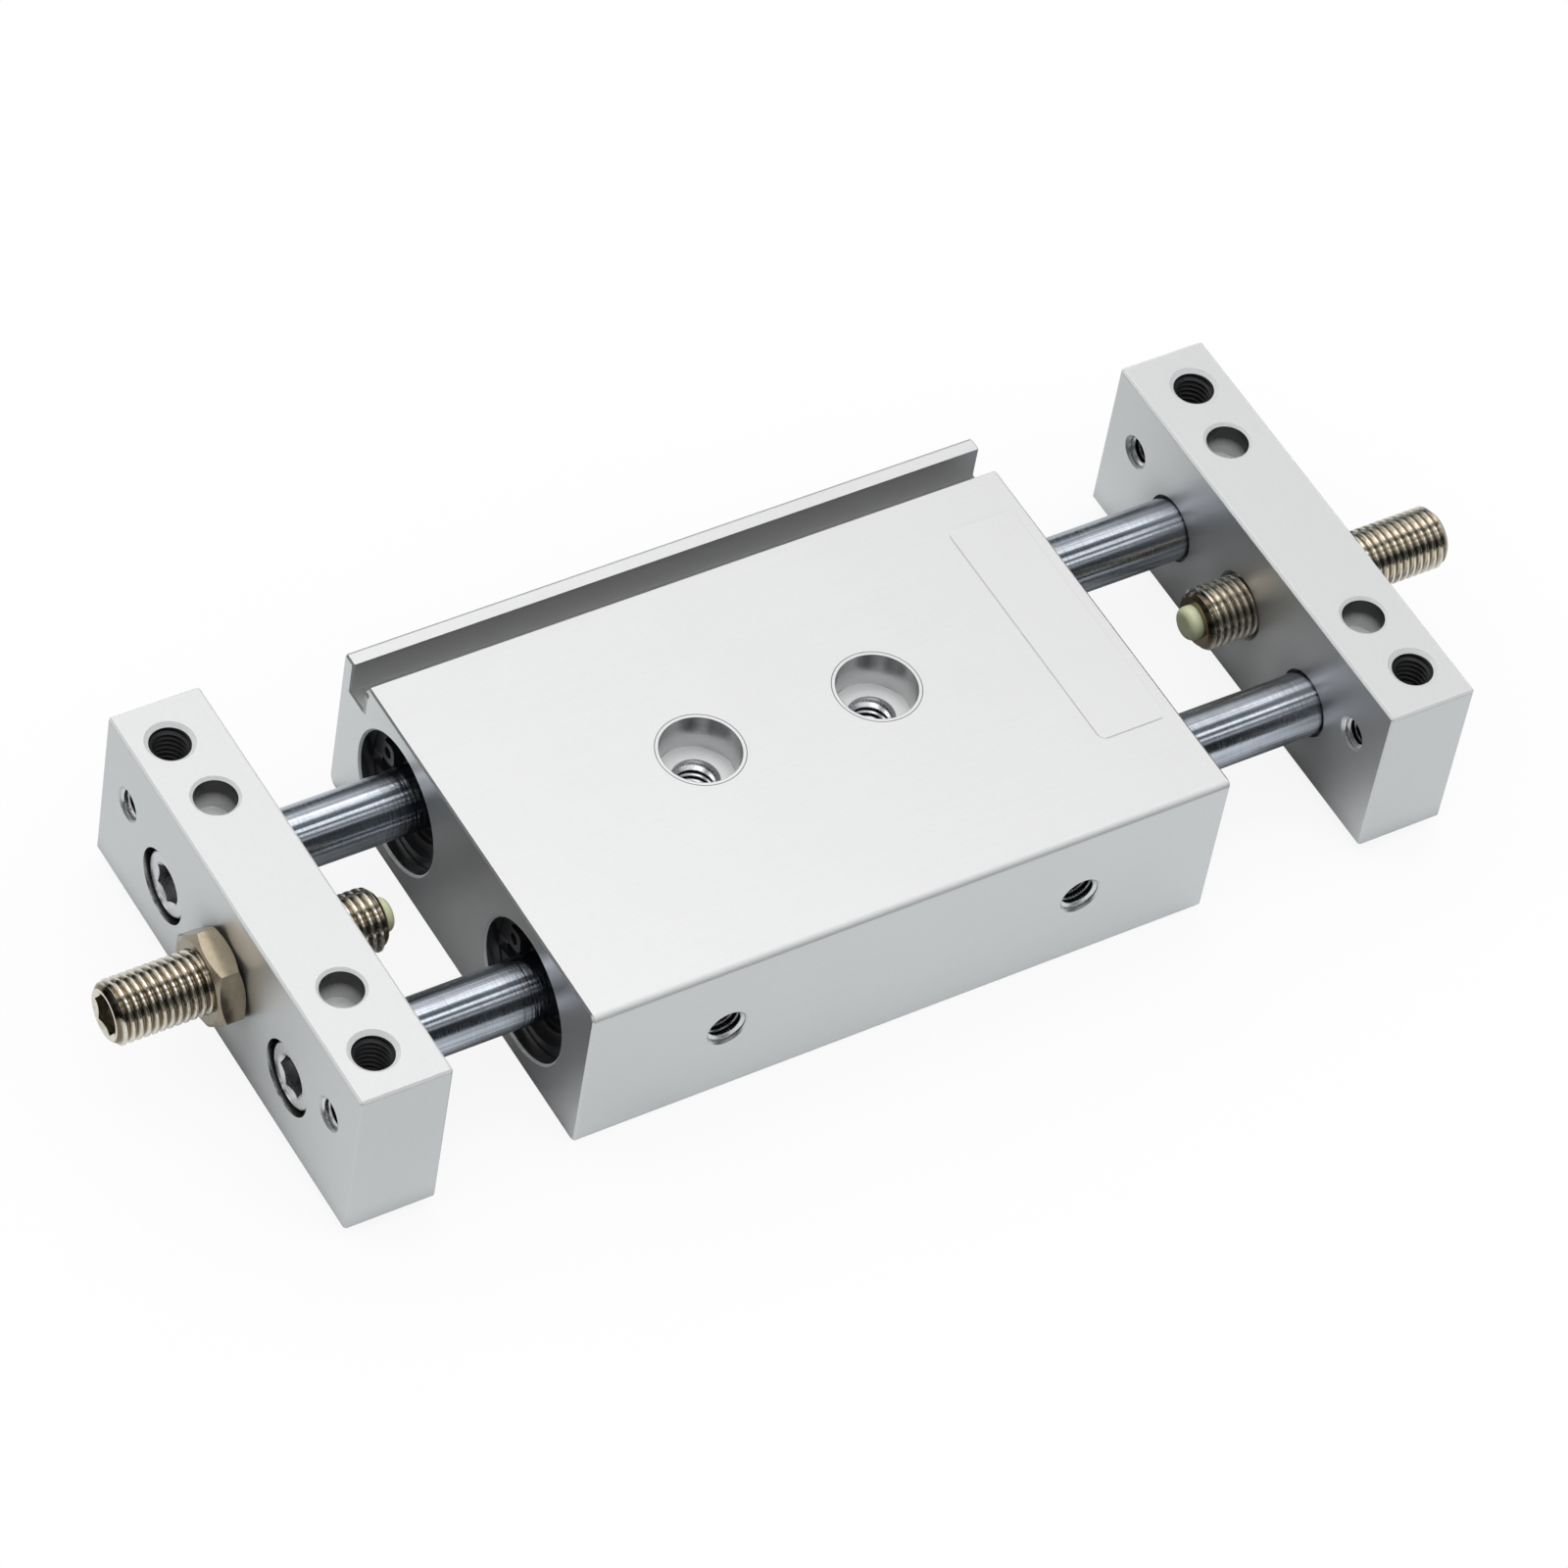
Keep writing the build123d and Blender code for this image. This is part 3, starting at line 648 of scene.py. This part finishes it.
for node in nodes:
    start = max((key for key in finishOf if node.startswith(key)), key=len)
    dress(node, finishOf[start])
print("materials: %d" % len(materials))


# Mesh helpers
def finishPiece(mesh, name, material, body, replaced=(), smooth=30.0):
    data = bpy.data.meshes.new(name)
    mesh.to_mesh(data)
    mesh.free()
    piece = bpy.data.objects.new(name, data)
    bpy.context.scene.collection.objects.link(piece)
    data.materials.append(material)
    data.shade_smooth()
    if smooth:
        data.set_sharp_from_angle(angle=radians(smooth))
    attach(piece, body)
    if replaced:
        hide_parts(*replaced)
    return piece


def ontoAxis(origin, direction):
    # +Z of the mesh's own space is turned onto this direction, and its origin onto this point
    turn = Vector(direction).to_track_quat("Z", "Y").to_matrix().to_4x4()
    return Matrix.Translation(origin) @ turn


def joinInto(whole, mesh):
    data = bpy.data.meshes.new("joined")
    mesh.to_mesh(data)
    whole.from_mesh(data)
    bpy.data.meshes.remove(data)
    mesh.free()


def vertsOf(items):
    return [item for item in items if isinstance(item, bmesh.types.BMVert)]


def edgesOf(items):
    return [item for item in items if isinstance(item, bmesh.types.BMEdge)]


def reachOf(vert):
    # distance from the Z axis
    return sqrt(vert.co.x ** 2 + vert.co.y ** 2)


def setReach(vert, reach):
    share = reach / reachOf(vert)
    vert.co.x *= share
    vert.co.y *= share


threadAngle = 60  # degrees between the flanks
mergeDistance = 1e-6


# A helical thread round +Z from z = 0 to its length: one turn is spun and copied pitch by pitch. Both ends
# are cut square, and each may be chamfered: outside threads down to the end radius, inside threads up to it.
def threadTube(mesh, rootRadius, crestRadius, pitch, crestShare, length, steps, endRadii):
    depth = abs(crestRadius - rootRadius)
    flank = depth * tan(radians(threadAngle / 2))
    crest = pitch * crestShare
    heights = [0, crest, crest + flank, pitch - flank, pitch]
    around = [crestRadius, crestRadius, rootRadius, rootRadius, crestRadius]
    line = [mesh.verts.new((r, 0, h - 2 * pitch)) for h, r in zip(heights, around)]
    edges = [mesh.edges.new(pair) for pair in zip(line, line[1:])]
    bmesh.ops.spin(
        mesh, geom=line + edges, cent=(0, 0, 0), axis=(0, 0, 1), dvec=(0, 0, pitch / steps),
        angle=2 * pi, steps=steps, use_merge=False, use_duplicate=False,
    )
    turn = mesh.verts[:] + mesh.edges[:] + mesh.faces[:]
    for place in range(1, int(length / pitch) + 3):
        made = bmesh.ops.duplicate(mesh, geom=turn)["geom"]
        bmesh.ops.translate(mesh, verts=vertsOf(made), vec=(0, 0, pitch * place))
    bmesh.ops.remove_doubles(mesh, verts=mesh.verts, dist=mergeDistance)
    for height, outward in ((0, -1), (length, 1)):
        bmesh.ops.bisect_plane(
            mesh, geom=mesh.verts[:] + mesh.edges[:] + mesh.faces[:], dist=1e-8,
            plane_co=(0, 0, height), plane_no=(0, 0, outward), clear_outer=True,
        )
    inside = crestRadius < rootRadius
    for vert in mesh.verts:
        for away, endRadius in ((vert.co.z, endRadii[0]), (length - vert.co.z, endRadii[1])):
            if endRadius is None:
                continue
            limit = endRadius - away if inside else endRadius + away
            reach = reachOf(vert)
            if (reach < limit) if inside else (reach > limit):
                setReach(vert, limit)
    bmesh.ops.recalc_face_normals(mesh, faces=mesh.faces)
    return mesh


def rimAt(mesh, height):
    # the open edges at this height
    return [
        edge for edge in mesh.edges
        if edge.is_boundary and all(abs(vert.co.z - height) < mergeDistance / 10 for vert in edge.verts)
    ]


def ring(mesh, radius, height, segments):
    place = Matrix.Translation((0, 0, height))
    made = bmesh.ops.create_circle(mesh, segments=segments, radius=radius, matrix=place)
    return list({edge for vert in made["verts"] for edge in vert.link_edges})


def sinkHole(mesh, mouth, direction, depth, cone):
    # from the mouth's edges down to a flat floor; cone is the drill point's depth
    sunk = bmesh.ops.extrude_edge_only(mesh, edges=mouth)["geom"]
    bmesh.ops.translate(mesh, verts=vertsOf(sunk), vec=(0, 0, -direction * depth))
    floor = bmesh.ops.contextual_create(mesh, geom=edgesOf(sunk))["faces"]
    point = bmesh.ops.poke(mesh, faces=floor)["verts"]
    bmesh.ops.translate(mesh, verts=point, vec=(0, 0, -direction * cone))


socketShape = {
    "perFlat": 8,  # points on each flat
    "mouthSlope": 0.6,  # the countersink's depth to its width
}


def sinkSocket(mesh, rim, height, setup):
    # a hexagon socket with a round countersunk mouth, in the +Z end that this rim surrounds
    mouth = ring(mesh, setup["mouthRadius"], height, 6 * socketShape["perFlat"])
    bmesh.ops.triangle_fill(mesh, edges=rim + mouth, use_beauty=True, normal=(0, 0, 1))
    sunk = bmesh.ops.extrude_edge_only(mesh, edges=mouth)["geom"]
    for spot in vertsOf(sunk):
        turn = Vector((1, 0)).angle_signed(spot.co.xy, 0) % radians(60) - radians(30)
        away = setup["socketFlats"] / 2 / cos(turn)
        setReach(spot, away)
        spot.co.z = height - (setup["mouthRadius"] - away) * socketShape["mouthSlope"]
    sinkHole(mesh, edgesOf(sunk), 1, setup["socketDepth"], setup["socketCone"])


# Stop screws: M8 by 1 all along, a hexagon socket outside and the bumper's seat inside
stopScrew = {
    "pitch": 0.001,
    "crest": 0.00395,
    "root": 0.00350,
    "crestShare": 0.28,
    "steps": 72,
    "endRadius": 0.00315,
    "socketFlats": 0.0046,
    "mouthRadius": 0.00284,
    "socketDepth": 0.0046,
    "socketCone": 0.0008,
    "seatRadius": 0.0022,
    "seatDepth": 0.004,
}
screwMaterial = nickelMaterial("nickel_thread", nickelThread, stopScrew["root"], stopScrew["crest"])


def makeStopScrew(end):
    setup = stopScrew
    low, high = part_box("stop_screw_" + end)
    length = high.x - low.x
    mesh = bmesh.new()
    threadTube(
        mesh, setup["root"], setup["crest"], setup["pitch"], setup["crestShare"], length, setup["steps"],
        (setup["endRadius"], setup["endRadius"]),
    )
    sinkSocket(mesh, rimAt(mesh, length), length, setup)
    rim = rimAt(mesh, 0)
    seat = ring(mesh, setup["seatRadius"], 0, setup["steps"])
    bmesh.ops.triangle_fill(mesh, edges=rim + seat, use_beauty=True, normal=(0, 0, -1))
    sinkHole(mesh, seat, -1, setup["seatDepth"], 0)
    bmesh.ops.recalc_face_normals(mesh, faces=mesh.faces)
    inner = high.x if end == "left" else low.x
    place = ontoAxis((inner, stopMiddle.y, stopMiddle.z), (ends[end], 0, 0))
    bmesh.ops.transform(mesh, matrix=place, verts=mesh.verts)
    finishPiece(mesh, "threaded_stop_" + end, screwMaterial, end + "_stop",
                ["stop_screw_" + end], smooth=28)


for end in ends:
    makeStopScrew(end)
print("stop screws: threads cut")


# Cap screws in the end plates, with rounded rims, knurled heads and hexagon sockets
capScrew = {
    "headRadius": 0.00425,
    "headHeight": 0.005,
    "rimRadius": 0.0004,
    "rimSteps": 4,
    "knurls": 60,
    "knurlDepth": 0.00009,
    "slack": 0.00001,  # how near the barrel's radius a point counts as on it
    "turns": {"front": 11, "back": 38},  # degrees
    "socketFlats": 0.0046,
    "mouthRadius": 0.00282,
    "socketDepth": 0.0025,
    "socketCone": 0.0006,
    "footChamfer": 0.0003,
    "pitch": 0.0008,
    "crest": 0.00245,
    "root": 0.00202,
    "steps": 40,
}


def makeCapScrew(length):
    # the head's outer face is at z = 0 and the shank runs to -Z
    setup = capScrew
    head, rim, foot = setup["headRadius"], setup["rimRadius"], setup["footChamfer"]
    crest, root, under = setup["crest"], setup["root"], -setup["headHeight"]
    mesh = bmesh.new()
    top = ring(mesh, head - rim, 0, setup["knurls"] * 2)
    angles = [radians(90) * step / setup["rimSteps"] for step in range(1, setup["rimSteps"] + 1)]
    profile = [(head - rim + rim * sin(angle), rim * (cos(angle) - 1)) for angle in angles]
    profile += [
        (head, under + foot),
        (head - foot, under),
        (crest, under),
        (crest, under - setup["pitch"]),
        (root, under - setup["pitch"] - crest + root),
        (root, -length + crest - root),
    ]
    edge = top
    for radius, height in profile:
        grown = bmesh.ops.extrude_edge_only(mesh, edges=edge)["geom"]
        edge = edgesOf(grown)
        for vert in vertsOf(grown):
            setReach(vert, radius)
            vert.co.z = height
    bmesh.ops.contextual_create(mesh, geom=edge)
    for vert in mesh.verts:
        if abs(reachOf(vert) - head) < setup["slack"] and under < vert.co.z < setup["slack"] - rim:
            turn = round(Vector((1, 0)).angle_signed(vert.co.xy, 0) / (pi / setup["knurls"]))
            if turn % 2:
                setReach(vert, head - setup["knurlDepth"])
    sinkSocket(mesh, top, 0, setup)
    bmesh.ops.recalc_face_normals(mesh, faces=mesh.faces)
    return mesh


def makeCapScrews(end):
    low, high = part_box("plate_screws_" + end)
    both = bmesh.new()
    for side, turn in capScrew["turns"].items():
        mesh = makeCapScrew(high.x - low.x)
        outer = low.x if end == "left" else high.x
        place = ontoAxis((outer, rodMiddle[side].y, rodMiddle[side].z), (ends[end], 0, 0))
        place = place @ Matrix.Rotation(radians(turn), 4, "Z")
        bmesh.ops.transform(mesh, matrix=place, verts=mesh.verts)
        joinInto(both, mesh)
    finishPiece(both, "cap_screws_" + end, materials["zinc"], "carriage",
                ["plate_screws_" + end], smooth=30)


for end in ends:
    makeCapScrews(end)
print("cap screws: in place")


# Threads inside the tapped holes: the ridges between the wall and the minor radius
tappedHoles = {
    "M4": {"radius": 0.002, "pitch": 0.0007, "steps": 40},
    "M5": {"radius": 0.0025, "pitch": 0.0008, "steps": 48},
    "M6": {"radius": 0.003, "pitch": 0.001, "steps": 56},
}
tapping = {
    "wallGap": 0.000004,
    "depth": 0.5413,  # of the pitch
    "crestShare": 0.125,
    "mouth": 0.55,  # turns from the mouth at which the painted shade in the thread begins
    "growth": 2,  # how fast the painted shade grows, for each turn
}


def makeTapped(name, size, holes, body, finish="thread"):
    # each hole is (mouth of the thread, direction out of the mouth, length)
    setup = tappedHoles[size]
    wall = setup["radius"] - tapping["wallGap"]
    crest = setup["radius"] - tapping["depth"] * setup["pitch"]
    joined = bmesh.new()
    for mouth, direction, length in holes:
        mesh = bmesh.new()
        sizes = (wall, crest, setup["pitch"], tapping["crestShare"], length, setup["steps"])
        threadTube(mesh, *sizes, (None, wall))
        groove = mesh.verts.layers.float.new("groove")
        for vert in mesh.verts:  # how deep a point lies in the thread, fading out at the mouth; it sets the painted shade
            sunk = (reachOf(vert) - crest) / (wall - crest)
            turns = (length - vert.co.z) / setup["pitch"] - tapping["mouth"]
            vert[groove] = sunk * min(1.0, max(0.0, turns * tapping["growth"]))
        place = ontoAxis(Vector(mouth) - Vector(direction) * length, direction)
        bmesh.ops.transform(mesh, matrix=place, verts=mesh.verts)
        joinInto(joined, mesh)
    bmesh.ops.reverse_faces(joined, faces=joined.faces)
    finishPiece(joined, name, materials[finish], body, smooth=40)


for end, way in ends.items():
    low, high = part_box("end_plate_" + end)
    outerX, innerX = (low.x, high.x) if end == "left" else (high.x, low.x)
    topX = (low.x + high.x) / 2 + way * plateHoles["topShift"]
    topChamfer = plateHoles["topMouth"] - plateHoles["topRadius"]
    faceZ = high.z - plateHoles["faceDrop"]
    inset = way * plateHoles["faceChamfer"]
    vertical = []
    across = []
    for side in (-1, 1):
        y = side * plateHoles["topSpacing"] / 2
        vertical.append(((topX, y, high.z - topChamfer), (0, 0, 1), plateHoles["topLength"]))
        vertical.append(((topX, y, low.z + topChamfer), (0, 0, -1), plateHoles["footLength"]))
        across.append(((outerX - inset, y, faceZ), (way, 0, 0), plateHoles["outerLength"]))
        across.append(((innerX + inset, y, faceZ), (-way, 0, 0), plateHoles["innerLength"]))
    makeTapped("plate_threads_top_" + end, "M5", vertical, "carriage", "shaded_thread")
    makeTapped("plate_threads_face_" + end, "M4", across, "carriage")

bolts = []
ports = []
sunk = bodyHoles["boltDepth"] + bodyHoles["boltChamfer"]
portY = bodyLow.y + bodyHoles["portChamfer"]
for way in ends.values():
    x = way * bodyHoles["boltSpacing"] / 2
    bolts.append(((x, 0, bodyHigh.z - sunk), (0, 0, 1), bodyHigh.z - bodyLow.z - 2 * sunk))
    x = way * bodyHoles["portSpacing"] / 2
    ports.append(((x, portY, rodMiddle["front"].z), (0, -1, 0), bodyHoles["portLength"]))
makeTapped("body_threads", "M6", bolts, "cylinder")
makeTapped("port_threads", "M5", ports, "cylinder")
print("tapped holes: threads in place")


# Blank label on the right end of the body's top
def makeLabel(setup):
    mesh = bmesh.new()
    made = bmesh.ops.create_grid(mesh, x_segments=1, y_segments=1, size=0.5)
    width = setup["right"] - setup["left"]
    length = setup["back"] - setup["front"]
    bmesh.ops.scale(mesh, vec=(width, length, 1), verts=made["verts"])
    bmesh.ops.bevel(
        mesh, geom=mesh.verts[:], offset=setup["corner"], segments=setup["cornerSteps"], profile=0.5,
        affect="VERTICES", material=-1,
    )
    grown = bmesh.ops.extrude_face_region(mesh, geom=mesh.faces[:])["geom"]
    bmesh.ops.translate(mesh, verts=vertsOf(grown), vec=(0, 0, setup["thickness"]))
    bmesh.ops.recalc_face_normals(mesh, faces=mesh.faces)
    spot = ((setup["left"] + setup["right"]) / 2, (setup["front"] + setup["back"]) / 2, bodyHigh.z)
    bmesh.ops.translate(mesh, verts=mesh.verts, vec=spot)
    finishPiece(mesh, "blank_label", materials["film"], "cylinder")


makeLabel(label)
print("label: blank film in place")


# Floor, world and lamps
studio = {
    "floorSize": 6.0,
    "floorDrop": 0.00005,
    "floorColour": (0.28, 0.28, 0.28, 1.0),
    "floorGlow": 1.0,
    "floorTint": (0.95, 0.985, 1.0, 1.0),  # what the object mirrors of it
    "floorShine": 0.74,
    "floorOpen": (0.38, 0.14),  # how open the floor must be to shine at all, and how much more to do so fully
    "floorShade": 0.12,
    "shadowReach": 0.05,
    "skyPower": 1.0,
    "shade": (0.86, 1.0, 1.06),
    "shadeBelow": 0.5,
    "horizon": (0.03, 0.25),  # heights of a direction between which the bands fade in
    "endFade": (0.35, 0.9),  # sideways share of a direction with plain brightness, and the loss past it
    "endWall": (0.50, 0.14, 0.90),  # where it turns dark, over what width, and by what share
    # brightness of the studio across the rods: degrees from the back horizon, over the top, to the front
    "sky": (
        (0, 0.05), (14, 0.06), (24, 0.30), (36, 0.88), (50, 0.96), (57, 0.96), (64, 1.95), (78, 1.95),
        (84, 0.25), (98, 0.25), (102, 1.95), (108, 1.95), (112, 0.25), (118, 0.25), (122, 1.60), (126, 1.60),
        (129, 0.25), (133, 0.25), (135, 0.60), (139, 0.60), (142, 0.15), (147, 0.04), (180, 0.04),
    ),
}
lamps = {
    "key": {"place": (0.10, 0.15, 1.3), "aim": (0, 0, 0), "size": (0.5, 0.5), "power": 4.0},
}


def makeFloor(setup):
    mesh = bmesh.new()
    bmesh.ops.create_grid(mesh, x_segments=1, y_segments=1, size=setup["floorSize"] / 2)
    bmesh.ops.translate(mesh, verts=mesh.verts, vec=(0, 0, -setup["floorDrop"]))
    data = bpy.data.meshes.new("floor")
    mesh.to_mesh(data)
    mesh.free()
    floor = bpy.data.objects.new("floor", data)
    bpy.context.scene.collection.objects.link(floor)
    sheet = newMaterial("floor", {"Roughness": 0.9, "Base Color": setup["floorColour"]})
    camera = sheet.node("ShaderNodeLightPath", {}, {}, "Is Camera Ray")
    shiny = sheet.node("ShaderNodeLightPath", {}, {}, "Is Glossy Ray")
    through = sheet.node("ShaderNodeLightPath", {}, {}, "Is Transmission Ray")
    clear = sheet.openness(setup["shadowReach"])
    mirrored = shiny.maths("MAXIMUM", through) * clear.over(*setup["floorOpen"]) * setup["floorShine"]
    seen = camera * (clear * setup["floorShade"] + (1 - setup["floorShade"])) * setup["floorGlow"]
    share = seen.maths("MAXIMUM", mirrored)
    glow = sheet.node("ShaderNodeEmission", {}, {0: sheet.blend(camera, setup["floorTint"], grey(1.0))})
    mix = sheet.node("ShaderNodeMixShader", {}, {0: share, 2: glow})
    sheet.tree.links.new(sheet.shader.outputs[0], mix.socket.node.inputs[1])
    sheet.tree.links.new(mix.socket, sheet.tree.nodes["Material Output"].inputs[0])
    data.materials.append(sheet.owner)


def makeWorld(setup):
    world = bpy.data.worlds.new("studio")
    bpy.context.scene.world = world
    sheet = Sheet(world, "Background", {}, "Generated")
    across = sheet.axes()
    angle = across[2].maths("ARCTAN2", across[1]) / pi
    stops = []
    for degrees, value in setup["sky"]:
        tint = setup["shade"] if value < setup["shadeBelow"] else (1, 1, 1)
        stops.append((degrees / 180, (*(part * value / 2 for part in tint), 1.0)))
    bands = sheet.node("ShaderNodeValToRGB", {"stops": stops}, {0: angle})
    low, high = setup["horizon"]
    above = across[2].over(low, high - low)
    bands = sheet.blend(above, stops[0][1], bands)
    aside = across[0].maths("ABSOLUTE")
    start, width, share = setup["endWall"]
    plain, fast = setup["endFade"]
    fade = ((plain - aside) * fast + 1) * (1 - aside.over(start, width) * share)
    seen = sheet.node("ShaderNodeLightPath", {}, {}, "Is Camera Ray")
    sheet.feed("Color", sheet.blend(seen, bands, grey(1.0)))
    sheet.feed("Strength", seen + (1 - seen) * fade * (2 * setup["skyPower"]))


def makeLamp(name, setup):
    data = bpy.data.lights.new(name, "AREA")
    data.shape = "RECTANGLE"
    data.size, data.size_y = setup["size"]
    data.energy = setup["power"]
    lamp = bpy.data.objects.new(name, data)
    place = Vector(setup["place"])
    aim = (Vector(setup["aim"]) - place).to_track_quat("-Z", "Y")
    lamp.matrix_world = Matrix.Translation(place) @ aim.to_matrix().to_4x4()
    lamp.visible_glossy = False
    bpy.context.scene.collection.objects.link(lamp)


makeFloor(studio)
makeWorld(studio)
for name, setup in lamps.items():
    makeLamp(name, setup)
bpy.context.scene.view_settings.view_transform = "Standard"
print("studio: %d lamps" % len(lamps))
